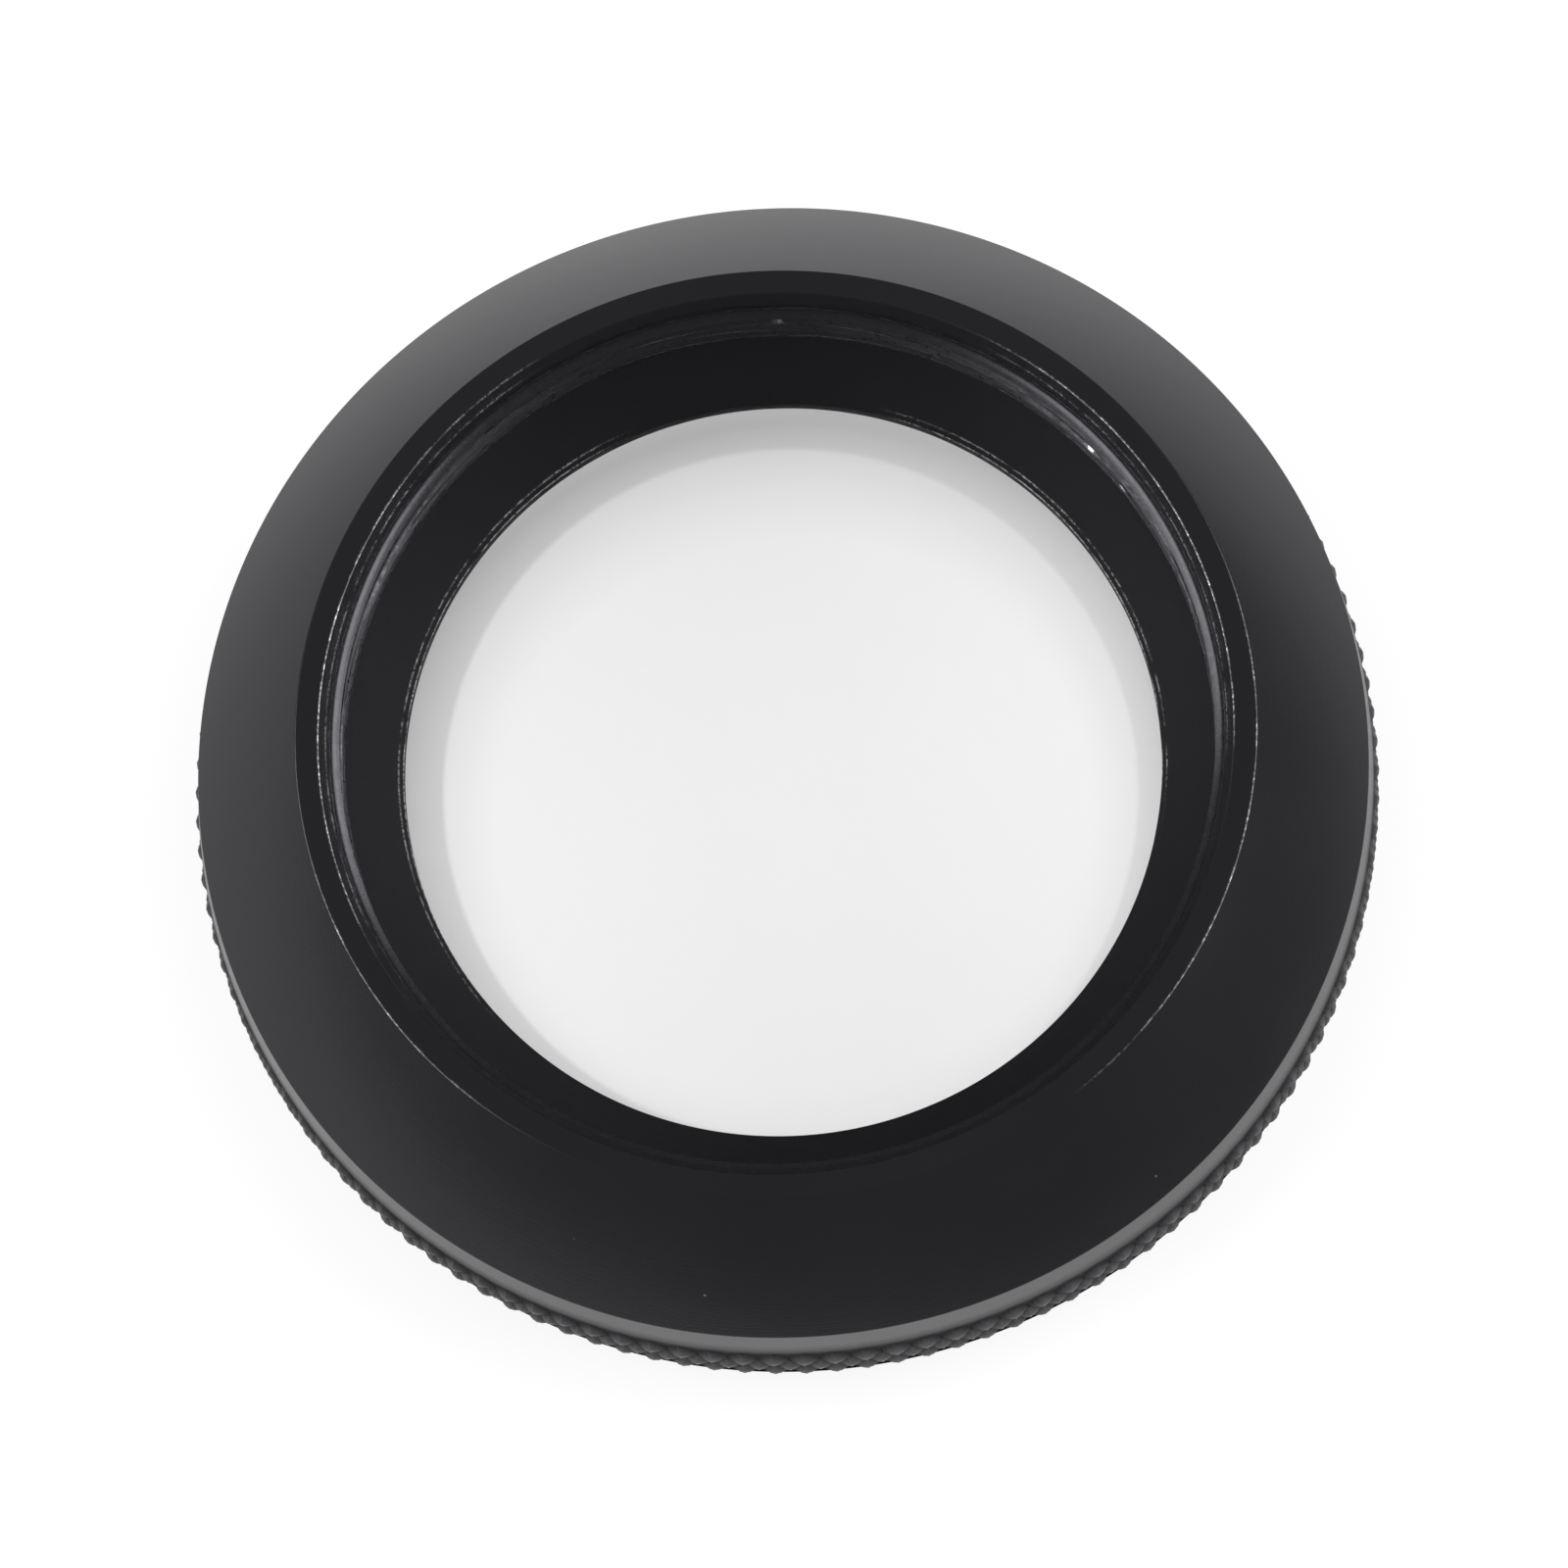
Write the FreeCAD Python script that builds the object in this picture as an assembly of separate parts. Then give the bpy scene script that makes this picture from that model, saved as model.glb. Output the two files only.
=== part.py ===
import FreeCAD, Part
import math
import os

# Rotating polarizing filter that screws into the front of a lens.
# It stands lens side down: +Z is the optical axis, towards the scene, and Z = 0 is the rear end of its thread.
# All sizes are in millimetres.

# Laminated pane: glass, polarizing film, quarter-wave film and glass, from front to rear
pane_d = 36.6
pane_clearance = 0.05
front_glass_thickness = 0.9
polarizing_film_thickness = 0.2
quarter_wave_film_thickness = 0.1
rear_glass_thickness = 0.9

# Retaining ring that clamps the pane from the rear
retaining_clearance = 0.05
retaining_width = 1.2
retaining_height = 1.5
retaining_bevel = 0.5
spanner_slot_width = 1.2
spanner_slot_depth = 0.8

# Front thread, funnel and the lip that the pane lies against
front_thread_d = 37.0
front_thread_pitch = 0.75
front_thread_depth = 3.57
front_lead_depth = 0.95
front_lead_width = 0.75
funnel_depth = 2.41
lip_height = 0.61
lip_width = 2.4

# Conical front of the turning ring
front_land_width = 0.94
cone_base_d = 49.0
cone_height = 5.29

# Knurled rim of the turning ring
rim_height = 6.41
rim_bevel = 0.43
shoulder_height = 2.4
knurl_root_d = 49.68
knurl_depth = 0.2
knurl_step = 0.03
knurl_teeth = 122
knurl_rows = 4

# Neck of the turning ring, which turns in the bore of the mount ring; its own bore flares out of the light path
neck_wall = 2.45
neck_recess = 0.3
neck_flare_width = 1.0
neck_flare_height = 2.7
running_clearance = 0.05
thrust_gap = 0.1

# Open snap ring in the groove that the neck and the mount ring share
snap_ring_width = 0.9
snap_ring_thickness = 0.6
snap_ring_opening_deg = 24.0
snap_ring_seat_gap = 0.03
snap_ring_side_gap = 0.06
snap_ring_float = 0.1
mount_groove_depth = 0.4

# Mount ring, the half that stays still on the lens: its wall ends at the crest of the M46 thread
mount_wall = 2.15
mount_thread_length = 3.2
mount_thread_lead = 0.4
mount_relief_depth = 0.55
mount_relief_width = 0.5
mount_flange_overhang = 1.3
mount_flange_thickness = 1.4
mount_flange_bevel = 0.2

# ISO metric threads: minor diameter below the major one, in pitches
minor_drop_pitches = 1.0825

# Heights along the optical axis
flange_front_z = mount_thread_length + mount_flange_thickness
rim_rear_z = flange_front_z + thrust_gap
cone_base_z = rim_rear_z + rim_height
front_z = cone_base_z + cone_height
thread_end_z = front_z - front_thread_depth
lip_front_z = thread_end_z - funnel_depth
seat_z = lip_front_z - lip_height
front_glass_z = seat_z - front_glass_thickness
polarizing_film_z = front_glass_z - polarizing_film_thickness
quarter_wave_film_z = polarizing_film_z - quarter_wave_film_thickness
rear_glass_z = quarter_wave_film_z - rear_glass_thickness
knurl_bottom_z = rim_rear_z + rim_bevel
knurl_top_z = cone_base_z - shoulder_height
groove_z = (neck_recess + rim_rear_z) / 2
groove_rear_z = groove_z - snap_ring_thickness / 2 - snap_ring_side_gap
groove_front_z = groove_z + snap_ring_thickness / 2 + snap_ring_side_gap

# Radii, from the pane outwards
pane_r = pane_d / 2
pane_bore_r = pane_r + pane_clearance
neck_r = pane_bore_r + neck_wall
mount_bore_r = neck_r + running_clearance
mount_groove_r = mount_bore_r + mount_groove_depth
snap_ring_outer_r = mount_groove_r - snap_ring_seat_gap
snap_ring_inner_r = snap_ring_outer_r - snap_ring_width
knurl_root_r = knurl_root_d / 2
shoulder_r = knurl_root_r - knurl_step
cone_base_r = cone_base_d / 2

axis_origin = FreeCAD.Vector(0, 0, 0)
axis_direction = FreeCAD.Vector(0, 0, 1)
full_turn = 360


def section_point(r, z):
    return FreeCAD.Vector(r, 0, z)


def section_lines(points):
    """Straight edges through (radius, height) points of a section."""
    ends = [section_point(r, z) for r, z in points]
    return [Part.makeLine(a, b) for a, b in zip(ends, ends[1:])]


def turned(points, degrees=full_turn):
    """Solid turned about the optical axis from a closed section."""
    section = Part.Face(Part.Wire(section_lines(points + points[:1])))
    return section.revolve(axis_origin, axis_direction, degrees)


def knurl_point(column, row, height=0):
    """Corner of the knurl: a root of its grooves, or a point above one."""
    r = knurl_root_r + height
    angle = math.pi * column / knurl_teeth
    z = knurl_bottom_z + (knurl_top_z - knurl_bottom_z) * row / knurl_rows
    return FreeCAD.Vector(r * math.cos(angle), r * math.sin(angle), z)


def tooth_columns(row):
    """Columns with a tooth in this row: every second one, shifted by one from row to row."""
    return range(row % 2, 2 * knurl_teeth, 2)


def triangle(a, b, c):
    return Part.Face(Part.makePolygon([a, b, c, a]))


def tooth_facets(column, row):
    """Pyramid that two crossing pairs of grooves leave standing."""
    tip = knurl_point(column, row, knurl_depth)
    roots = [
        knurl_point(column + 1, row),
        knurl_point(column, row + 1),
        knurl_point(column - 1, row),
        knurl_point(column, row - 1),
    ]
    return [triangle(tip, a, b) for a, b in zip(roots, roots[1:] + roots[:1])]


def run_out_facet(column, row, end_row):
    """Root between two teeth of an outer row, where a pair of grooves runs out at the end of the knurl."""
    root = knurl_point(column + 1, row)
    return triangle(knurl_point(column, end_row), knurl_point(column + 2, end_row), root)


def knurl_faces():
    """Diamond knurl: rows of pyramids, each row shifted by half a tooth."""
    rows = range(1, knurl_rows)
    faces = []
    for row in rows:
        for column in tooth_columns(row):
            faces.extend(tooth_facets(column, row))
    for row, end_row in [(rows[0], 0), (rows[-1], knurl_rows)]:
        faces.extend(run_out_facet(column, row, end_row) for column in tooth_columns(row))
    return faces


def knurl_end(row, end_row, z):
    """Narrow flat step between the end of the knurl and the turned surface beside it."""
    corners = [knurl_point(column, end_row) for column in tooth_columns(row)]
    outside = Part.makePolygon(corners + corners[:1])
    inside = Part.Wire(Part.makeCircle(shoulder_r, section_point(0, z), axis_direction))
    return Part.Face([outside, inside])


def front_ring():
    """The turning ring: knurled rim, conical front, threaded funnel, seat for the pane, and neck."""
    front_thread_r = (front_thread_d - minor_drop_pitches * front_thread_pitch) / 2
    land_inner_r = front_thread_r + front_lead_width
    aperture_r = pane_r - lip_width
    groove_r = snap_ring_inner_r - snap_ring_float
    section = section_lines([
        (shoulder_r, knurl_bottom_z),
        (shoulder_r - rim_bevel, rim_rear_z),
        (neck_r, rim_rear_z),
        (neck_r, groove_front_z),
        (groove_r, groove_front_z),
        (groove_r, groove_rear_z),
        (neck_r, groove_rear_z),
        (neck_r, neck_recess),
        (pane_bore_r + neck_flare_width, neck_recess),
        (pane_bore_r, neck_recess + neck_flare_height),
        (pane_bore_r, seat_z),
        (aperture_r, seat_z),
        (aperture_r, lip_front_z),
        (front_thread_r, thread_end_z),
        (front_thread_r, front_z - front_lead_depth),
        (land_inner_r, front_z),
        (land_inner_r + front_land_width, front_z),
        (cone_base_r, cone_base_z),
        (shoulder_r, knurl_top_z),
    ])
    turned_faces = Part.Wire(section).revolve(axis_origin, axis_direction, full_turn).Faces
    ends = [knurl_end(1, 0, knurl_bottom_z), knurl_end(knurl_rows - 1, knurl_rows, knurl_top_z)]
    shell = Part.makeShell(turned_faces + ends + knurl_faces())
    shell.sewShape()
    ring = Part.makeSolid(shell)
    if ring.Volume < 0:
        ring.reverse()
    return ring


def pane_layer(rear_z, thickness):
    return Part.makeCylinder(pane_r, thickness, section_point(0, rear_z), axis_direction)


def front_glass():
    return pane_layer(front_glass_z, front_glass_thickness)


def polarizing_film():
    return pane_layer(polarizing_film_z, polarizing_film_thickness)


def quarter_wave_film():
    return pane_layer(quarter_wave_film_z, quarter_wave_film_thickness)


def rear_glass():
    return pane_layer(rear_glass_z, rear_glass_thickness)


def retaining_ring():
    """Flat ring with a bevelled bore and two slots for a pin spanner."""
    outer_r = pane_bore_r - retaining_clearance
    bore_r = outer_r - retaining_width
    rear_z = rear_glass_z - retaining_height
    ring = turned([
        (bore_r + retaining_bevel, rear_z),
        (outer_r, rear_z),
        (outer_r, rear_glass_z),
        (bore_r, rear_glass_z),
        (bore_r, rear_z + retaining_bevel),
    ])
    slot_corner = FreeCAD.Vector(-outer_r, -spanner_slot_width / 2, rear_z)
    slots = Part.makeBox(2 * outer_r, spanner_slot_width, spanner_slot_depth, slot_corner)
    return ring.cut(slots)


def mount_ring():
    """Threaded ring with a relief groove behind its flange, and half of the snap ring's groove in its bore."""
    thread_r = mount_bore_r + mount_wall
    relief_r = thread_r - mount_relief_depth
    relief_rear_z = mount_thread_length - mount_relief_width
    flange_r = thread_r + mount_flange_overhang
    return turned([
        (mount_bore_r, 0),
        (thread_r - mount_thread_lead, 0),
        (thread_r, mount_thread_lead),
        (thread_r, relief_rear_z),
        (relief_r, relief_rear_z),
        (relief_r, mount_thread_length),
        (flange_r - mount_flange_bevel, mount_thread_length),
        (flange_r, mount_thread_length + mount_flange_bevel),
        (flange_r, flange_front_z - mount_flange_bevel),
        (flange_r - mount_flange_bevel, flange_front_z),
        (mount_bore_r, flange_front_z),
        (mount_bore_r, groove_front_z),
        (mount_groove_r, groove_front_z),
        (mount_groove_r, groove_rear_z),
        (mount_bore_r, groove_rear_z),
    ])


def snap_ring():
    """Open ring of flat spring steel that keeps the two rings together."""
    rear_z = groove_z - snap_ring_thickness / 2
    front_face_z = groove_z + snap_ring_thickness / 2
    section = [
        (snap_ring_inner_r, rear_z),
        (snap_ring_outer_r, rear_z),
        (snap_ring_outer_r, front_face_z),
        (snap_ring_inner_r, front_face_z),
    ]
    return turned(section, full_turn - snap_ring_opening_deg)


os.makedirs("parts", exist_ok=True)
makers = [
    front_ring,
    front_glass,
    polarizing_film,
    quarter_wave_film,
    rear_glass,
    retaining_ring,
    mount_ring,
    snap_ring,
]
for make in makers:
    make().exportStep("parts/" + make.__name__ + ".step")
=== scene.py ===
import math

import bpy
import numpy as np
from mathutils import Matrix, Vector


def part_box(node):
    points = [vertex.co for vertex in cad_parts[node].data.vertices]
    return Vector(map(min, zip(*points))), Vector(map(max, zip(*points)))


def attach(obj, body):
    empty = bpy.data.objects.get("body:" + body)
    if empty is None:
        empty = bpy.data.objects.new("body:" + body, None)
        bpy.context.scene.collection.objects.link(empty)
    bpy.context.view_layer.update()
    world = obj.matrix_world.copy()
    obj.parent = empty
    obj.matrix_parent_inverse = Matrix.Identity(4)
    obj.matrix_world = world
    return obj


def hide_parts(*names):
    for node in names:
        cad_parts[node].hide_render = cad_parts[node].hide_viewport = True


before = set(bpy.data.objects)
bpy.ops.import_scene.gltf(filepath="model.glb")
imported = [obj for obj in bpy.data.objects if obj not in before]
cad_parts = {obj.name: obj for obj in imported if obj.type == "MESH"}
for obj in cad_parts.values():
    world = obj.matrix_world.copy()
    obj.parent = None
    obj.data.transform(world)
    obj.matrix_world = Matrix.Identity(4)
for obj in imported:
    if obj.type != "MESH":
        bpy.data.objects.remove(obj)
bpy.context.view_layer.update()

# Lengths are in millimetres up to the point where a mesh, lamp or camera is made
MM = 0.001


def node_box(node):
    low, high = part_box(node)
    return low / MM, high / MM


ring_low, ring_high = node_box("front_ring")
mount_high = node_box("mount_ring")[1]
retaining_low, retaining_high = node_box("retaining_ring")
pane_high = node_box("front_glass")[1]

# Clearances between the pieces
pane_clearance = 0.05
running_clearance = 0.05
thrust_gap = 0.1
layer_gap = 0.01

# Turning ring: its outline, read from the frame
front_z = ring_high.z
neck_end_z = ring_low.z
knurl_peak_r = ring_high.x
seat_z = pane_high.z
flange_front_z = mount_high.z
rim_rear_z = flange_front_z + thrust_gap

# Turning ring: front thread, lead-in and land
thread_pitch = 0.75
thread_flat_root = 0.125
front_thread_major_r = 18.5
front_thread_minor_r = 18.094
front_thread_depth = 3.57
front_thread_start = 0.6116667
front_thread_crest = 0.12
front_run_out = 0.5
front_entry_depth = 0.95
front_flank_height = 0.36
front_lead_depth = 0.95
front_lead_width = 0.75
front_land_width = 0.94
thread_end_z = front_z - front_thread_depth
lead_slope = front_lead_width / front_lead_depth
land_inner_r = front_thread_minor_r + front_lead_width
land_outer_r = land_inner_r + front_land_width

# Turning ring: funnel and lip
funnel_depth = 2.41
aperture_r = 15.9
lip_edge_width = 0.2
lip_front_z = thread_end_z - funnel_depth
funnel_slope = funnel_depth / (front_thread_minor_r - aperture_r)

# Turning ring: cone, shoulder and knurled rim
cone_height = 5.29
cone_base_r = 24.5
rim_bevel = 0.43
shoulder_height = 2.4
knurl_depth = 0.2
knurl_step = 0.03
knurl_sink = 0.1
knurl_teeth = 122
knurl_half_rows = 4
cone_base_z = front_z - cone_height
shoulder_r = knurl_peak_r - knurl_depth - knurl_step
knurl_root_r = shoulder_r - knurl_sink
knurl_top_z = cone_base_z - shoulder_height
knurl_bottom_z = rim_rear_z + rim_bevel

# Turning ring: neck, the pane's recess and the snap ring's groove
neck_r = 20.8
neck_flare_width = 1.0
neck_flare_height = 2.7
pane_bore_r = pane_high.x + pane_clearance
groove_r = 20.22
groove_rear_z = 2.14
groove_front_z = 2.86

# Mount ring
mount_groove_depth = 0.4
mount_thread_r = 23.0
mount_thread_depth = 0.46
mount_thread_crest = 0.25
mount_thread_lead = 0.4
mount_thread_length = 3.2
mount_run_out = 0.2
mount_relief_r = 22.45
mount_relief_width = 0.5
mount_flange_bevel = 0.2
mount_flange_r = mount_high.x
mount_bore_r = neck_r + running_clearance
mount_groove_r = mount_bore_r + mount_groove_depth
mount_thread_end_z = mount_thread_length - mount_relief_width

# Retaining ring
retaining_bore_r = 17.1
retaining_bevel = 0.5
retaining_chamfer = 0.05
spanner_slot_width = 1.2
spanner_slot_depth = 0.8
slot_bevel_width = 0.01
slot_bevel_height = 0.02
slot_wall = 0.04

# Glasses and films: the chamfer, and the most that it takes of a sheet's thickness
pane_chamfer = 0.1
pane_chamfer_share = 0.3

# Mesh fineness
knurl_steps = 6
knurl_row_steps = 5
ring_columns = knurl_teeth * knurl_steps
mount_columns = 480
pane_columns = 256
retaining_columns = 150
slot_columns = 9
flank_rows = 9
front_thread_step = 0.055
mount_thread_step = 0.056
edge_setback = 0.06
edge_share = 0.4
bevel_guard = 0.9
sharp_angle = math.radians(32)

# Small steps between rows where two stretches of a section meet
seam = 0.02
knurl_seam = 0.03
mount_seam = 0.05
mount_thread_stop_z = 0.06

# Share of bare metal on rubbed edges
edge_wear = 0.3
cone_edge_wear = 0.1
tooth_wear = 0.1
lip_wear = 2.0
lip_line_wear = 1.0
land_inner_wear = 1.0
land_outer_wear = 0.7
lead_line_wear = 0.8
lead_fringe_wear = 0.06
mount_end_wear = 0.4
mount_crest_wear = 0.35

# Stretches of the edges that are rubbed, as middle and half width in degrees
lip_worn = [(158, 50), (22, 38)]
land_inner_worn = [(155, 40), (17, 30)]
land_outer_worn = [(-26, 32), (204, 16)]
worn_fade = 12.0

# Worn line across the lead-in
lead_line_drop = 0.28
lead_line_half = 0.04

# Bare nicks in the front thread, as azimuth in degrees and depth below the front
nick_places = [(33.2, 2.6), (26.8, 3.1), (79.0, 1.6)]
nick_wear = 4.0
nick_half_width = 0.12
nick_half_height = 0.15

# Rough streaks of the thread cutter, and how dull the shoulder is at shares of its height
flank_streaks = 0.25
mount_streaks = 0.1
shoulder_dulling = [(0.03, 0.0), (0.5, 0.0), (0.76, 0.4), (0.9, 1.0)]

full_turn = 2 * math.pi


class Row:
    """One ring of mesh points: radius and height, the same all round or not, and its surface marks."""

    def __init__(self, r, z, wear=0.0, thread=0.0, dull=0.0, inside=False, rounded=False):
        self.r = r
        self.z = z
        self.wear = wear
        self.thread = thread
        self.dull = dull
        self.inside = inside
        self.rounded = rounded


def edge(r, z, wear=edge_wear, inside=False):
    """Corner of a section that is rounded over and rubbed."""
    return Row(r, z, wear=wear, inside=inside, rounded=True)


def with_round_edges(corners):
    """Rows along a section, with four in the place of each corner that is rounded over."""
    rows = []
    for index, corner in enumerate(corners):
        if not corner.rounded:
            rows.append(corner)
            continue
        before, point, after = [Vector((c.r, c.z)) for c in corners[index - 1:index + 2]]
        shortest = min((before - point).length, (after - point).length)
        reach = min(edge_setback, edge_share * shortest)
        start = point + (before - point).normalized() * reach
        end = point + (after - point).normalized() * reach
        for t in (0.0, 1 / 3, 2 / 3, 1.0):
            p = start * (1 - t) ** 2 + point * (2 * t * (1 - t)) + end * t ** 2
            wear = corner.wear if 0.0 < t < 1.0 else 0.0
            inside = corner.inside and (t == 1.0 or corners[index - 1].inside)
            rows.append(Row(p.x, p.y, wear=wear, inside=inside))
    return rows


def mesh_object(name, points, faces, marks):
    mesh = bpy.data.meshes.new(name)
    mesh.from_pydata((np.asarray(points) * MM).tolist(), [], faces)
    for mark, values in marks.items():
        layer = mesh.attributes.new(mark, "FLOAT", "POINT")
        layer.data.foreach_set("value", np.asarray(values, dtype=np.float32))
    mesh.shade_smooth()
    mesh.set_sharp_from_angle(angle=sharp_angle)
    piece = bpy.data.objects.new(name, mesh)
    bpy.context.scene.collection.objects.link(piece)
    return piece


def lathe(name, rows, angles):
    """Ring whose section is the closed loop of rows."""
    columns = len(angles)
    ones = np.ones(columns)
    r = np.array([row.r * ones for row in rows])
    z = np.array([row.z * ones for row in rows])
    points = np.stack([r * np.cos(angles), r * np.sin(angles), z], axis=-1).reshape(-1, 3)
    steps = np.hypot(np.diff(r.mean(1), prepend=r[0].mean()), np.diff(z.mean(1), prepend=z[0].mean()))
    along = np.cumsum(steps)[:, None] * ones
    marks = {"along": along.ravel()}
    for mark in ("wear", "thread", "dull"):
        marks[mark] = np.array([getattr(row, mark) * ones for row in rows]).ravel()
    here = np.arange(len(rows) * columns).reshape(len(rows), columns)
    below = np.roll(here, -1, axis=0)
    corners = [here, below, np.roll(below, -1, axis=1), np.roll(here, -1, axis=1)]
    faces = np.stack(corners, axis=-1).reshape(-1, 4).tolist()
    piece = mesh_object(name, points, faces, marks)
    finish = np.repeat([row.inside for row in rows], columns)
    piece.data.polygons.foreach_set("material_index", finish.astype(np.int32))
    return piece


def disc(name, low, high):
    """Round plate with chamfered edges, between two corners of its box."""
    angles = np.linspace(0, full_turn, pane_columns, endpoint=False)
    chamfer = min(pane_chamfer, pane_chamfer_share * (high.z - low.z))
    outer = high.x
    halfway = outer / 2
    section = [
        (halfway, low.z),
        (outer - chamfer, low.z),
        (outer, low.z + chamfer),
        (outer, high.z - chamfer),
        (outer - chamfer, high.z),
        (halfway, high.z),
    ]
    points = [(r * math.cos(a), r * math.sin(a), z) for r, z in section for a in angles]
    low_centre = len(points)
    high_centre = low_centre + 1
    last_row = low_centre - pane_columns
    points += [(0, 0, low.z), (0, 0, high.z)]
    faces = []
    for lower in range(0, last_row, pane_columns):
        upper = lower + pane_columns
        for column in range(pane_columns):
            beside = (column + 1) % pane_columns
            faces.append((lower + column, lower + beside, upper + beside, upper + column))
    for column in range(pane_columns):
        beside = (column + 1) % pane_columns
        faces.append((low_centre, beside, column))
        faces.append((high_centre, last_row + column, last_row + beside))
    return mesh_object(name, points, faces, {})


def smooth(t):
    """Soft step from 0 to 1."""
    t = np.clip(t, 0.0, 1.0)
    return t * t * (3 - 2 * t)


def angle_from(angles, degrees):
    """Unsigned angles from a direction, in radians."""
    return np.abs(np.angle(np.exp(1j * (angles - math.radians(degrees)))))


def arcs(angles, spans):
    """Wear round an edge: full over spans of (middle, half width) degrees, fading out at their ends."""
    amount = np.zeros(len(angles))
    for middle, half in spans:
        off = np.degrees(angle_from(angles, middle))
        amount = np.maximum(amount, smooth((half - off) / worn_fade + 0.5))
    return amount


def thread_wave(z, angles, flat_crest, start=0.0):
    """Share of the full thread depth at a height, for a right-hand thread with flat crests and roots."""
    phase = np.abs((z / thread_pitch - angles / full_turn - start) % 1.0 - 0.5) * 2
    return np.clip((phase - flat_crest) / (1 - flat_crest - thread_flat_root), 0.0, 1.0)


def front_thread_rows(angles):
    """Female thread: it runs out above the funnel, and its first flank rises to a plain entry."""
    crest_z = front_z - front_entry_depth - front_flank_height
    depth = front_thread_major_r - front_thread_minor_r
    rows = []
    for z in np.arange(thread_end_z, crest_z, front_thread_step):
        groove = thread_wave(z, angles, front_thread_crest, front_thread_start)
        run_in = smooth((z - thread_end_z) / thread_pitch)
        run_out = smooth((crest_z - z) / front_run_out)
        r = front_thread_minor_r + depth * groove * run_in * run_out
        rows.append(Row(r, z, wear=nicks(angles, z), thread=run_out))
    for t in np.linspace(0.0, 1.0, flank_rows):
        r = front_thread_minor_r + depth * t * (2 - t)
        z = crest_z + front_flank_height * t
        rows.append(Row(r, z, thread=flank_streaks * (1 - t), inside=t == 1.0))
    entry_front_z = front_z - (land_inner_r - front_thread_major_r) / lead_slope
    rows.append(Row(front_thread_major_r, entry_front_z, inside=True))
    return rows


def nicks(angles, z):
    """Wear of the small bare nicks in the front thread, at a height."""
    amount = np.zeros(len(angles))
    for azimuth, depth in nick_places:
        across = smooth(2 - angle_from(angles, azimuth) * front_thread_minor_r / nick_half_width)
        amount += nick_wear * across * smooth(2 - abs(front_z - depth - z) / nick_half_height)
    return amount


def ridge(u):
    """Triangular wave from 0 to 1 that peaks at even numbers."""
    return np.abs(u % 2.0 - 1.0)


def knurl_rows(angles):
    """Diamond knurl from top to bottom: rounded teeth, and two crossing sets of dull grooves between them."""
    across = angles * knurl_teeth / math.pi
    steps = knurl_half_rows * knurl_row_steps
    rows = []
    for step in range(steps + 1):
        t = knurl_half_rows * (1 - step / steps)
        inner = min(max(t, 1.0), knurl_half_rows - 1.0)
        pyramid = np.minimum(ridge(across + inner), ridge(across - inner)) - abs(t - inner)
        tooth = 1 - (1 - np.maximum(pyramid, 0.0)) ** 2
        r = knurl_root_r + (knurl_peak_r - knurl_root_r) * tooth
        z = knurl_bottom_z + (knurl_top_z - knurl_bottom_z) * t / knurl_half_rows
        rows.append(Row(r, z, wear=tooth_wear * tooth ** 6, dull=1 - tooth))
    return rows


def shoulder_rows():
    """Tapered shoulder from the base of the cone towards the knurl, dull at its foot."""
    rows = []
    for t, dull in shoulder_dulling:
        r = cone_base_r + (shoulder_r - cone_base_r) * t
        z = cone_base_z + (knurl_top_z - cone_base_z) * t
        rows.append(Row(r, z, dull=dull))
    return rows


def rear_rows(angles):
    """From the foot of the knurl round the neck and the pane's recess to the lip and up the matt funnel."""
    worn = arcs(angles, lip_worn)
    lip_line_z = lip_front_z + lip_edge_width * funnel_slope
    return with_round_edges([
        Row(shoulder_r - seam, knurl_bottom_z - knurl_seam),
        edge(shoulder_r - rim_bevel, rim_rear_z),
        Row(neck_r, rim_rear_z),
        Row(neck_r, groove_front_z),
        Row(groove_r, groove_front_z),
        Row(groove_r, groove_rear_z),
        Row(neck_r, groove_rear_z),
        edge(neck_r, neck_end_z),
        edge(pane_bore_r + neck_flare_width, neck_end_z),
        Row(pane_bore_r, neck_end_z + neck_flare_height),
        Row(pane_bore_r, seat_z, inside=True),
        edge(aperture_r, seat_z, lip_wear * worn, inside=True),
        edge(aperture_r, lip_front_z, lip_wear * worn, inside=True),
        edge(aperture_r + lip_edge_width, lip_line_z, lip_line_wear * worn, inside=True),
        Row(front_thread_minor_r, thread_end_z - seam),
    ])


def lead_row(drop, wear=0.0):
    """Row on the matt slope of the lead-in."""
    return Row(land_inner_r - drop, front_z - drop / lead_slope, wear=wear, inside=True)


def front_rows(angles, shoulder):
    """From the lead-in with its worn line over the land and the cone to the shoulder."""
    inner_worn = arcs(angles, land_inner_worn)
    corners = [
        lead_row(lead_line_drop + lead_line_half),
        lead_row(lead_line_drop, lead_line_wear * inner_worn),
        lead_row(lead_line_drop - lead_line_half, lead_fringe_wear * inner_worn),
        edge(land_inner_r, front_z, land_inner_wear * inner_worn),
        edge(land_outer_r, front_z, land_outer_wear * arcs(angles, land_outer_worn)),
        edge(cone_base_r, cone_base_z, cone_edge_wear),
    ]
    return with_round_edges(corners + shoulder[:1])[:-1] + shoulder


def front_ring():
    angles = np.linspace(0, full_turn, ring_columns, endpoint=False)
    bore = rear_rows(angles) + front_thread_rows(angles)
    outside = front_rows(angles, shoulder_rows()) + knurl_rows(angles)
    return lathe("turned_front_ring", bore + outside, angles)


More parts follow.
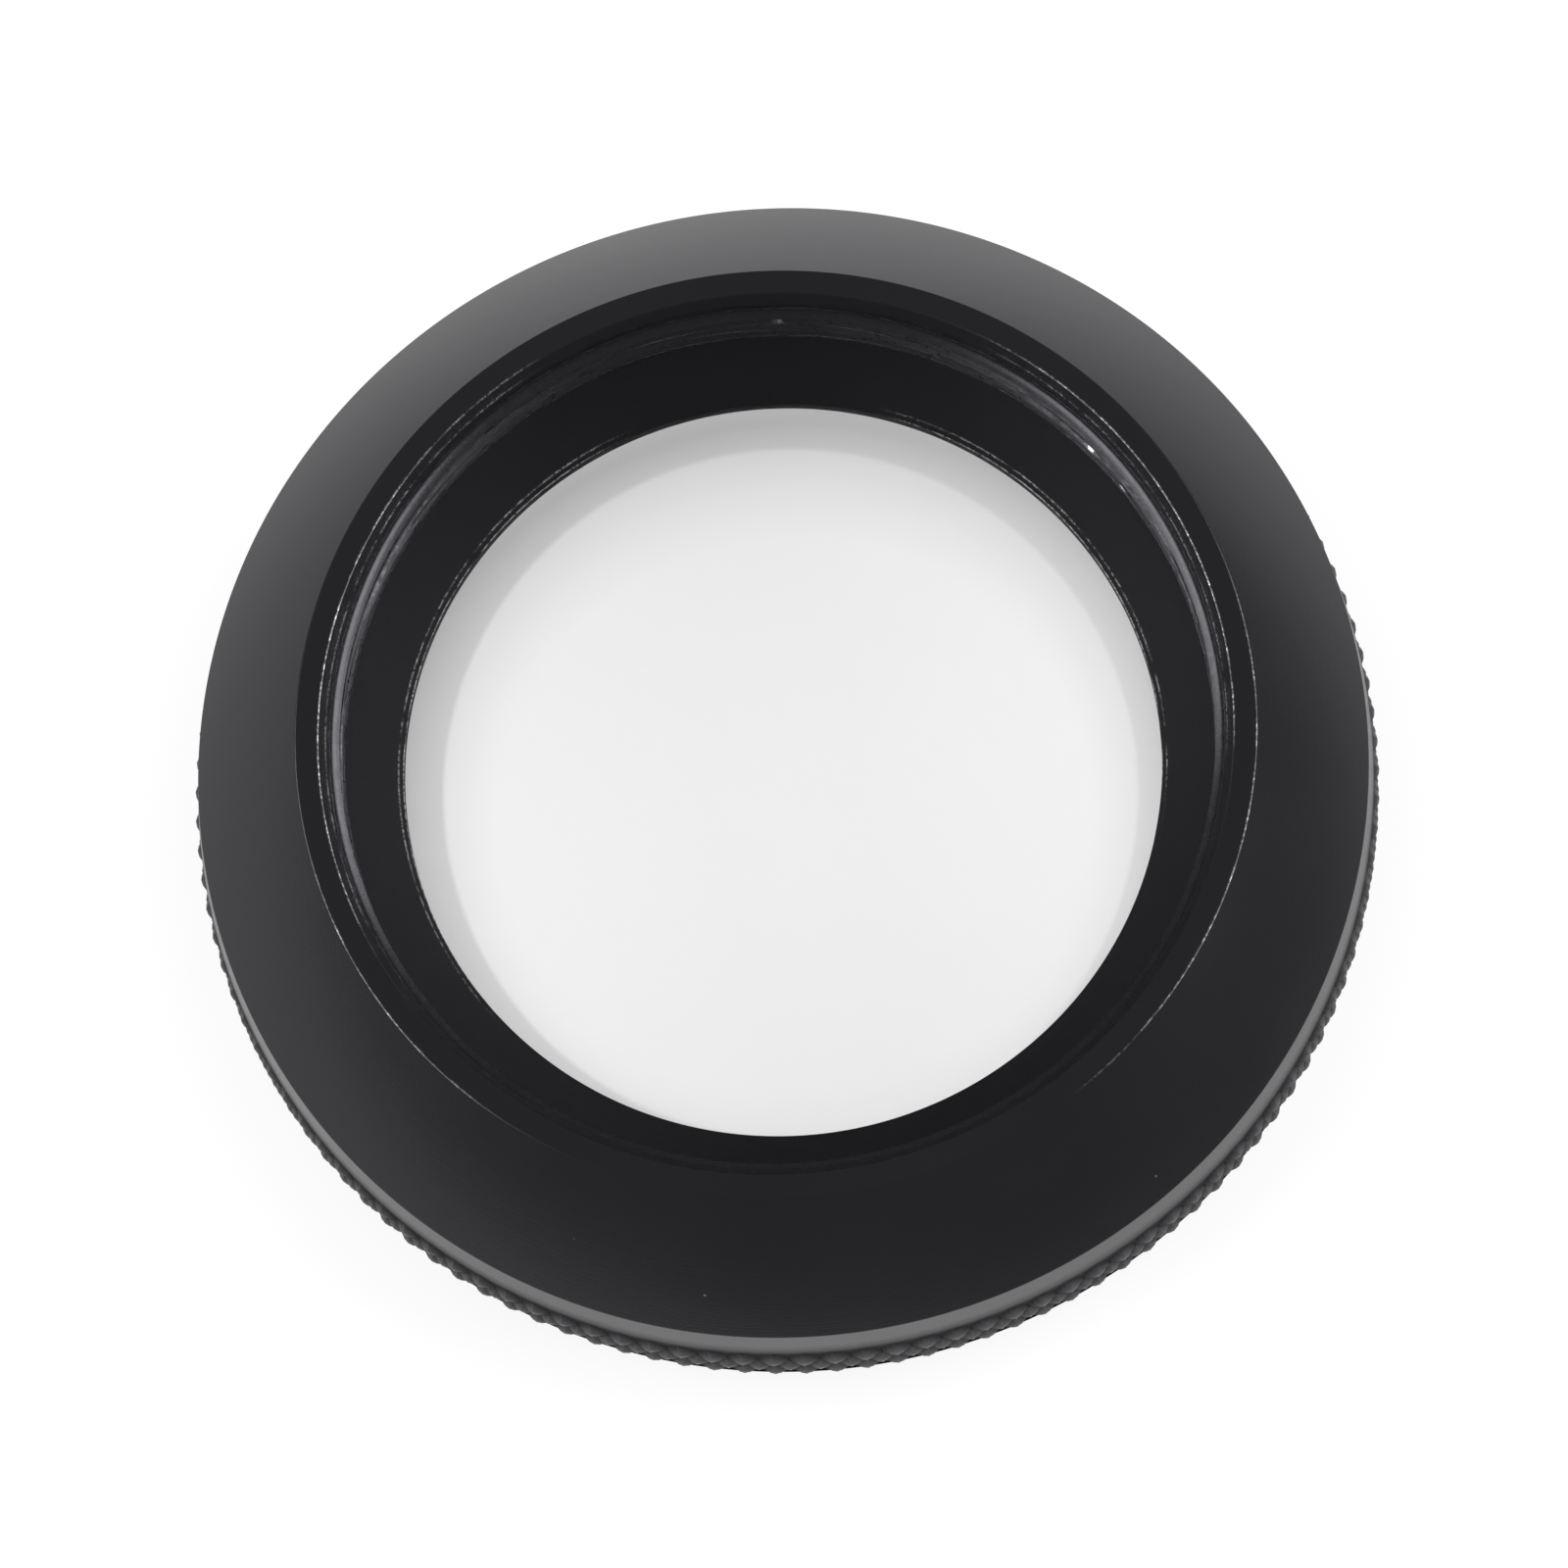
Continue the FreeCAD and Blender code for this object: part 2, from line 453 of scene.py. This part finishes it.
def mount_thread_rows(angles):
    """Male thread with a chamfered start, running out into the relief groove."""
    rows = []
    for z in np.arange(mount_thread_end_z - seam, mount_thread_stop_z, -mount_thread_step):
        run_out = smooth((mount_thread_end_z - z) / mount_run_out)
        groove = thread_wave(z, angles, mount_thread_crest) * run_out
        lead = mount_thread_r - mount_thread_lead + z
        r = np.minimum(mount_thread_r - mount_thread_depth * groove, lead)
        rows.append(Row(r, z, wear=mount_crest_wear * (1 - groove) ** 4, thread=mount_streaks))
    return rows


def mount_ring():
    angles = np.linspace(0, full_turn, mount_columns, endpoint=False)
    upper = with_round_edges([
        Row(mount_bore_r, groove_rear_z),
        Row(mount_groove_r, groove_rear_z),
        Row(mount_groove_r, groove_front_z),
        Row(mount_bore_r, groove_front_z),
        edge(mount_bore_r, flange_front_z),
        edge(mount_flange_r - mount_flange_bevel, flange_front_z),
        edge(mount_flange_r, flange_front_z - mount_flange_bevel),
        edge(mount_flange_r, mount_thread_length + mount_flange_bevel),
        edge(mount_flange_r - mount_flange_bevel, mount_thread_length),
        Row(mount_relief_r, mount_thread_length),
        Row(mount_relief_r, mount_thread_end_z),
        Row(mount_thread_r - seam, mount_thread_end_z),
    ])
    rear = with_round_edges([
        Row(mount_thread_r - mount_thread_lead + mount_seam, mount_seam),
        edge(mount_thread_r - mount_thread_lead, 0.0, mount_end_wear),
        edge(mount_bore_r, 0.0),
        Row(mount_bore_r, groove_rear_z - mount_seam),
    ])
    return lathe("turned_mount_ring", upper + mount_thread_rows(angles) + rear, angles)


def retaining_ring():
    """Ring with two spanner slots: columns close up at the slots' walls."""
    low_z = retaining_low.z
    high_z = retaining_high.z
    outer_r = retaining_high.x
    bore_r = retaining_bore_r
    half_slot = spanner_slot_width / 2 / outer_r
    wall = slot_wall / outer_r
    between = np.linspace(half_slot + wall, math.pi - half_slot - wall, retaining_columns)
    slot = np.linspace(-half_slot, half_slot, slot_columns)
    angles = np.concatenate([slot, between, slot + math.pi, between + math.pi])
    in_slot = np.tile(np.repeat([True, False], [slot_columns, retaining_columns]), 2)
    rear_z = low_z + spanner_slot_depth * in_slot
    bevel_z = np.maximum(low_z + retaining_bevel, rear_z + slot_bevel_height)
    bevel_r = bore_r + np.where(in_slot, slot_bevel_width, retaining_bevel)
    rows = [
        Row(bore_r + bevel_guard * (bevel_r - bore_r), bevel_z + bevel_guard * (rear_z - bevel_z)),
        Row(bore_r, bevel_z),
        Row(bore_r, high_z - retaining_chamfer),
        Row(bore_r + retaining_chamfer, high_z),
        Row(outer_r - retaining_chamfer, high_z),
        Row(outer_r, high_z - retaining_chamfer),
        Row(outer_r, rear_z + retaining_chamfer),
        Row(outer_r - retaining_chamfer, rear_z),
        Row(bevel_r + edge_setback, rear_z),
        Row(bevel_r, rear_z, wear=edge_wear),
    ]
    return lathe("slotted_retaining_ring", rows, angles)


def rgba(r, g, b):
    return (r, g, b, 1.0)


def grey(level):
    return rgba(level, level, level)


class Shader:
    """Node tree of one material, built by short calls."""

    def __init__(self, name):
        self.material = bpy.data.materials.new(name)
        self.material.use_nodes = True
        self.tree = self.material.node_tree
        self.tree.nodes.clear()
        self.output = self.tree.nodes.new("ShaderNodeOutputMaterial")

    def add(self, kind, settings=None, **sockets):
        node = self.tree.nodes.new("ShaderNode" + kind)
        for key, value in (settings or {}).items():
            setattr(node, key, value)
        for key, value in sockets.items():
            self.set(node, key.replace("_", " "), value)
        return node

    def set(self, node, socket, value):
        target = node.inputs[int(socket)] if socket.isdigit() else node.inputs[socket]
        if isinstance(value, bpy.types.NodeSocket):
            self.tree.links.new(value, target)
        else:
            target.default_value = value

    def math(self, operation, *values, clamp=False):
        node = self.add("Math", {"operation": operation, "use_clamp": clamp})
        for index, value in enumerate(values):
            self.set(node, str(index), value)
        return node.outputs[0]

    def between(self, factor, first, second):
        """Value that goes from first to second as the factor goes from 0 to 1."""
        return self.math("MULTIPLY_ADD", factor, second - first, first)

    def less(self, value, share):
        """Value with a share of it taken away."""
        return self.math("MULTIPLY", value, self.math("SUBTRACT", 1.0, share))

    def mix(self, factor, first, second):
        node = self.add("Mix", {"data_type": "RGBA"})
        self.set(node, "0", factor)
        self.set(node, "6", first)
        self.set(node, "7", second)
        return node.outputs[2]

    def mix_shaders(self, factor, first, second):
        return self.add("MixShader", **{"0": factor, "1": first.outputs[0], "2": second.outputs[0]})

    def ramp(self, value, low, high):
        """Value mapped from low..high to 0..1, held at both ends."""
        node = self.add("MapRange", {"clamp": True}, Value=value)
        node.inputs["From Min"].default_value = low
        node.inputs["From Max"].default_value = high
        return node.outputs[0]

    def mark(self, name):
        return self.add("Attribute", {"attribute_name": name}).outputs["Fac"]

    def place(self, scale=(1, 1, 1)):
        """Position in the part's own frame, stretched."""
        coordinates = self.add("TexCoord").outputs["Object"]
        return self.add("Mapping", Vector=coordinates, Scale=scale).outputs[0]

    def measure(self, operation, *vectors):
        """Length, distance or dot product of vectors."""
        node = self.add("VectorMath", {"operation": operation})
        for index, vector in enumerate(vectors):
            self.set(node, str(index), vector)
        return node.outputs["Value"]

    def noise(self, vector, scale, detail=2.0, rough=0.5):
        node = self.add("TexNoise", Vector=vector, Scale=scale, Detail=detail, Roughness=rough)
        return node.outputs["Fac"]

    def finish(self, shader):
        self.tree.links.new(shader.outputs[0], self.output.inputs["Surface"])
        return self.material


bare_metal = rgba(0.5, 0.5, 0.51)


def rubbed(s, plain):
    """Share of bare metal: the wear mark, broken up by fine and coarse noise."""
    fine = s.ramp(s.noise(plain, scale=7000.0, detail=4.0, rough=0.7), 0.42, 0.66)
    coarse = s.ramp(s.noise(plain, scale=900.0), 0.32, 0.58)
    return s.math("MULTIPLY", s.mark("wear"), s.math("MULTIPLY", fine, coarse), clamp=True)


def dust(s, plain):
    """A few small specks: the middles of about one cell in ten."""
    cells = s.add("TexVoronoi", {"feature": "F1"}, Vector=plain, Scale=420.0)
    chosen = s.ramp(s.add("SeparateColor", Color=cells.outputs["Color"]).outputs[0], 0.90, 0.92)
    return s.math("MULTIPLY", s.ramp(cells.outputs["Distance"], 0.03, 0.018), chosen)


def anodised():
    """Satin black anodised aluminium: grain, turning marks, rubbed edges, dull grooves and specks of dust."""
    s = Shader("satin_black_anodised")
    plain = s.place()
    grain = s.noise(plain, scale=9000.0, detail=3.0)
    cloud = s.noise(plain, scale=160.0, detail=3.0)
    coarse = s.ramp(s.noise(plain, scale=2600.0, detail=3.0, rough=0.7), 0.35, 0.65)
    along = s.math("MULTIPLY", s.mark("along"), 14.0)
    turning = s.add("TexNoise", {"noise_dimensions": "1D"}, W=along, Scale=1.0, Detail=2.0).outputs["Fac"]
    streak = s.noise(s.place((260, 260, 9000)), scale=1.0, detail=3.0, rough=0.65)
    thread = s.mark("thread")
    streaky = s.math("MULTIPLY", thread, s.ramp(streak, 0.45, 0.7))
    dull = s.mark("dull")
    wear = rubbed(s, plain)

    black = s.mix(cloud, rgba(0.0090, 0.0086, 0.0106), rgba(0.0110, 0.0105, 0.0126))
    black = s.mix(streaky, black, rgba(0.0105, 0.0105, 0.0125))
    dusty = s.mix(dust(s, plain), black, grey(0.12))
    colour = s.mix(wear, dusty, bare_metal)

    satin = s.between(cloud, 0.20, 0.28)
    cut = s.math("MULTIPLY_ADD", thread, s.math("MULTIPLY", coarse, 0.35), satin)
    rough = s.math("MULTIPLY_ADD", dull, 0.4, cut)

    height = s.math("MULTIPLY_ADD", turning, 0.5, s.math("MULTIPLY", grain, 0.6))
    height = s.math("MULTIPLY_ADD", streaky, 0.6, height)
    bump = s.add("Bump", Height=height, Strength=0.12, Distance=0.04 * MM)

    surface = s.add("BsdfPrincipled", Base_Color=colour, Metallic=wear, Roughness=rough, IOR=1.5)
    s.set(surface, "Normal", bump.outputs[0])
    s.set(surface, "Specular IOR Level", s.between(dull, 0.5, 0.1))
    s.set(surface, "Specular Tint", rgba(0.94, 0.92, 1.0))
    return s.finish(surface)


def matt_inside():
    """Dull black of the funnel and the lead-in, which keep stray light down."""
    s = Shader("matt_black_inside")
    plain = s.place()
    grain = s.noise(plain, scale=8000.0, detail=3.0)
    cloud = s.noise(plain, scale=220.0, detail=3.0)
    wear = rubbed(s, plain)
    black = s.mix(cloud, rgba(0.0104, 0.0098, 0.0118), rgba(0.0132, 0.0126, 0.0148))
    colour = s.mix(wear, black, bare_metal)
    rough = s.between(grain, 0.55, 0.75)
    bump = s.add("Bump", Height=grain, Strength=0.15, Distance=0.03 * MM)
    surface = s.add("BsdfPrincipled", Base_Color=colour, Metallic=wear, Roughness=rough, IOR=1.5)
    s.set(surface, "Normal", bump.outputs[0])
    s.set(surface, "Specular IOR Level", 0.12)
    return s.finish(surface)


def glass(name, tint, index):
    """Clear coated sheet with the faintest haze; light shines through it."""
    s = Shader(name)
    haze = s.noise(s.place(), scale=500.0)
    colour = s.mix(haze, grey(0.998 * tint), grey(tint))
    surface = s.add("BsdfPrincipled", Base_Color=colour, Roughness=0.0, IOR=index)
    s.set(surface, "Transmission Weight", 1.0)
    clear = s.add("BsdfTransparent", Color=colour)
    shadow = s.add("LightPath").outputs["Is Shadow Ray"]
    return s.finish(s.mix_shaders(shadow, surface, clear))


def spring_steel():
    """Ground steel with fine marks along the ring."""
    s = Shader("ground_spring_steel")
    brushed = s.noise(s.place((200, 200, 20000)), scale=1.0, detail=3.0)
    colour = s.mix(brushed, rgba(0.42, 0.42, 0.43), grey(0.6))
    rough = s.ramp(brushed, -0.6, 1.9)
    bump = s.add("Bump", Height=brushed, Strength=0.1, Distance=0.02 * MM)
    surface = s.add("BsdfPrincipled", Base_Color=colour, Metallic=1.0, Roughness=rough)
    s.set(surface, "Normal", bump.outputs[0])
    return s.finish(surface)


def dress(piece, node, body, slot, *materials):
    """Gives a piece its finishes and lets it stand for a node of the frame."""
    for material in materials:
        piece.data.materials.append(material)
    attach(piece, body)
    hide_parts(node)


def pane_layer(name, node, material, slot):
    low, high = node_box(node)
    low.z += layer_gap
    high.z -= layer_gap
    dress(disc(name, low, high), node, "turning_ring", slot, material)


black = anodised()
dress(front_ring(), "front_ring", "turning_ring", "black_anodised", black, matt_inside())
dress(mount_ring(), "mount_ring", "mount", "black_anodised", black)
dress(retaining_ring(), "retaining_ring", "turning_ring", "black_anodised", black)

clear_glass = glass("coated_glass", tint=0.997, index=1.28)
grey_film = glass("pale_grey_film", tint=0.965, index=1.02)
clear_film = glass("clear_film", tint=0.995, index=1.02)
pane_layer("front_cover_glass", "front_glass", clear_glass, "glass")
pane_layer("polarizing_film_sheet", "polarizing_film", grey_film, "polarizing_film")
pane_layer("quarter_wave_film_sheet", "quarter_wave_film", clear_film, "quarter_wave_film")
pane_layer("rear_cover_glass", "rear_glass", clear_glass, "glass")

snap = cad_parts["snap_ring"]
snap.data.materials.clear()
snap.data.materials.append(spring_steel())

# Floor: half its width, how far it lies below the part, and its white
floor_half = 3000.0
floor_drop = 0.05
floor_white = 0.86

# Shadow painted into the floor's glow from ambient occlusion: its reach, and its depth inside and outside the
# ring's foot
shadow_reach = 6.0
shadow_inside = 0.45
shadow_outside = 0.12

# The same painted shadow as the part's own surfaces mirror it: it reaches further and is painted deeper on
# the right
mirrored_reach = 12.0
mirrored_shadow = 0.85
mirrored_shadow_right = 1.6
mirrored_right = (1.0, -0.2, 0.0)
mirrored_right_start = 8.0
mirrored_right_end = 26.0

# Painted fall-off of the mirrored floor's glow to both sides
mirrored_middle = 8.0
mirrored_sides_start = 15.0
mirrored_sides_end = 60.0
mirrored_sides_depth = 0.42

# Painted fall-off of the floor's glow towards one side
fall_off_side = (0.87, -0.5, 0.0)
fall_off_start = 44.0
fall_off_end = 110.0
fall_off_depth = 0.82

# Painted patch of light on the floor where light falls through the aperture, and the painted shade around it
patch_centre = (0.13, 1.69)
patch_r = 15.05
patch_stretch = 1.03
patch_edge = 0.12
patch_margin = 2.0
patch_shade_within = 0.05
patch_shade_beyond = 0.16
patch_shade_left = 0.22
patch_shade_right = 0.13


def covered(s, reach):
    """Share of the sky over the floor that the part hides."""
    sky = s.add("AmbientOcclusion", {"samples": 4}, Distance=reach * MM).outputs["AO"]
    return s.math("SUBTRACT", 1.0, sky)


def floor_shadow(s, around, mirrored):
    """The part's shadow, painted into the floor's glow: close to its foot, and wider where the part's own
    surfaces mirror it.
    """
    close = s.math("MULTIPLY", covered(s, shadow_reach), s.between(around, shadow_inside, shadow_outside))
    # Painted shadow in the floor as mirrored by the part, deeper on the right
    off = s.measure("DOT_PRODUCT", s.place(), mirrored_right)
    right = s.ramp(off, mirrored_right_start * MM, mirrored_right_end * MM)
    depth = s.between(right, mirrored_shadow, mirrored_shadow_right)
    wide = s.math("MULTIPLY", covered(s, mirrored_reach), depth, clamp=True)
    return s.math("MAXIMUM", close, s.math("MULTIPLY", wide, mirrored))


def side_shade(s, x):
    """Painted fall-off of the mirrored floor on both sides of its bright middle."""
    off = s.math("ABSOLUTE", s.math("SUBTRACT", x, mirrored_middle * MM))
    ramp = s.ramp(off, mirrored_sides_start * MM, mirrored_sides_end * MM)
    return s.math("MULTIPLY", ramp, mirrored_sides_depth)


def patch_shade(s, x):
    """Painted shade round a painted patch of light: faint up to its edge, then a step, then deeper."""
    centre_x, centre_y = patch_centre
    centre = (centre_x * MM, centre_y / patch_stretch * MM, 0.0)
    off = s.measure("DISTANCE", s.place((1, 1 / patch_stretch, 0)), centre)
    within = s.ramp(off, (patch_r - patch_margin) * MM, patch_r * MM)
    step = s.ramp(off, (patch_r - patch_edge) * MM, (patch_r + patch_edge) * MM)
    beyond = s.ramp(off, patch_r * MM, (patch_r + patch_margin) * MM)
    across = s.ramp(x, -patch_r * MM, patch_r * MM)
    shade = s.math("MULTIPLY", step, s.between(across, patch_shade_left, patch_shade_right))
    shade = s.math("MULTIPLY_ADD", within, patch_shade_within, shade)
    return s.math("MULTIPLY_ADD", beyond, patch_shade_beyond, shade)


def floor_material():
    """Pale floor that shows white, with a painted fall-off to one side, and with the part's shadow and a
    patch of light painted close to its foot.
    """
    s = Shader("pale_floor")
    path = s.add("LightPath")
    glossy = path.outputs["Is Glossy Ray"]
    transmitted = path.outputs["Is Transmission Ray"]
    mirrored = s.math("SUBTRACT", glossy, transmitted, clamp=True)
    radius = s.measure("LENGTH", s.place((1, 1, 0)))
    around = s.ramp(radius, pane_bore_r * MM, neck_r * MM)
    x = s.add("SeparateXYZ", Vector=s.place()).outputs["X"]
    # Painted fall-off towards one side, in the floor's glow and in its diffuse colour
    off = s.measure("DOT_PRODUCT", s.place(), fall_off_side)
    fall = s.math("MULTIPLY", s.ramp(off, fall_off_start * MM, fall_off_end * MM), fall_off_depth)

    # The part's shadow, painted into the floor's glow
    white = s.less(floor_white, floor_shadow(s, around, mirrored))
    # Painted fall-off of the mirrored floor to both sides
    white = s.less(white, s.math("MULTIPLY", side_shade(s, x), mirrored))
    # Painted shade round a painted patch of light inside the ring's foot
    white = s.less(white, s.less(patch_shade(s, x), around))
    glow = s.add("Emission", Color=grey(1.0), Strength=s.less(white, fall))
    soft = s.add("BsdfDiffuse", Color=s.mix(fall, grey(0.25), grey(0.05)))
    seen = s.add("AddShader", **{"0": glow.outputs[0], "1": soft.outputs[0]})
    lit = s.add("BsdfDiffuse", Color=grey(0.9))
    direct = s.math("MAXIMUM", path.outputs["Is Camera Ray"], s.math("MAXIMUM", glossy, transmitted))
    return s.finish(s.mix_shaders(direct, lit, seen))


def floor():
    half = floor_half * MM
    corners = [(-half, -half, 0), (half, -half, 0), (half, half, 0), (-half, half, 0)]
    mesh = bpy.data.meshes.new("floor")
    mesh.from_pydata(corners, [], [(0, 1, 2, 3)])
    mesh.materials.append(floor_material())
    plane = bpy.data.objects.new("floor", mesh)
    plane.location.z = -floor_drop * MM
    bpy.context.scene.collection.objects.link(plane)


# Studio: two softboxes, left and right of the part, and an even white world; lamp lengths in millimetres
softbox_elevation = math.radians(34)
softbox_distance = 600.0
softbox_height = 260.0
world_strength = 0.21


def softbox(name, azimuth, width, radiance):
    """Soft rectangular lamp that faces the part, with its brightness given as radiance."""
    lamp = bpy.data.lights.new(name, "AREA")
    lamp.shape = "RECTANGLE"
    lamp.size = width * MM
    lamp.size_y = softbox_height * MM
    lamp.energy = radiance * math.pi * lamp.size * lamp.size_y
    flat = math.cos(softbox_elevation)
    away = Vector((math.cos(azimuth) * flat, math.sin(azimuth) * flat, math.sin(softbox_elevation)))
    holder = bpy.data.objects.new(name, lamp)
    holder.location = (away * softbox_distance + Vector((0, 0, front_z))) * MM
    holder.rotation_euler = away.to_track_quat("Z", "Y").to_euler()
    bpy.context.scene.collection.objects.link(holder)


def studio():
    world = bpy.data.worlds.new("studio")
    world.use_nodes = True
    background = world.node_tree.nodes["Background"]
    background.inputs["Color"].default_value = grey(1.0)
    background.inputs["Strength"].default_value = world_strength
    bpy.context.scene.world = world
    softbox("left_softbox", azimuth=math.radians(180), width=550.0, radiance=6.0)
    softbox("right_softbox", azimuth=math.radians(-2), width=600.0, radiance=6.5)


# Camera, from circles fitted to the photo: it looks down at the ring and is rolled about its line of sight
view_distance = 294.0
view_elevation = math.radians(74.16)
view_roll = math.radians(-11.1)
view_focus_px = 7177.0
photo_px = 1600.0
cone_centre_px = (797.0, 776.0)
sensor_width = 36.0
clip_start = 10.0


def camera():
    centre = Vector((0, 0, cone_base_z))
    towards = Vector((0, math.cos(view_elevation), -math.sin(view_elevation)))
    up = Vector((0, math.sin(view_elevation), math.cos(view_elevation)))
    right = Vector((1, 0, 0))
    image_right = right * math.cos(view_roll) + up * math.sin(view_roll)
    image_up = up * math.cos(view_roll) - right * math.sin(view_roll)
    eye = centre - towards * view_distance
    mm_per_px = view_distance / view_focus_px
    off_x = photo_px / 2 - cone_centre_px[0]
    off_y = photo_px / 2 - cone_centre_px[1]
    aim = centre + (image_right * off_x - image_up * off_y) * mm_per_px
    back = (eye - aim).normalized()
    side = image_up.cross(back).normalized()
    top = back.cross(side)
    lens = bpy.data.cameras.new("camera")
    lens.sensor_width = sensor_width
    lens.lens = view_focus_px * sensor_width / photo_px
    lens.clip_start = clip_start * MM
    holder = bpy.data.objects.new("camera", lens)
    turn = Matrix((side, top, back)).transposed()
    holder.matrix_world = Matrix.Translation(eye * MM) @ turn.to_4x4()
    bpy.context.scene.collection.objects.link(holder)
    bpy.context.scene.camera = holder


floor()
studio()
camera()
bpy.context.scene.view_settings.view_transform = "Standard"
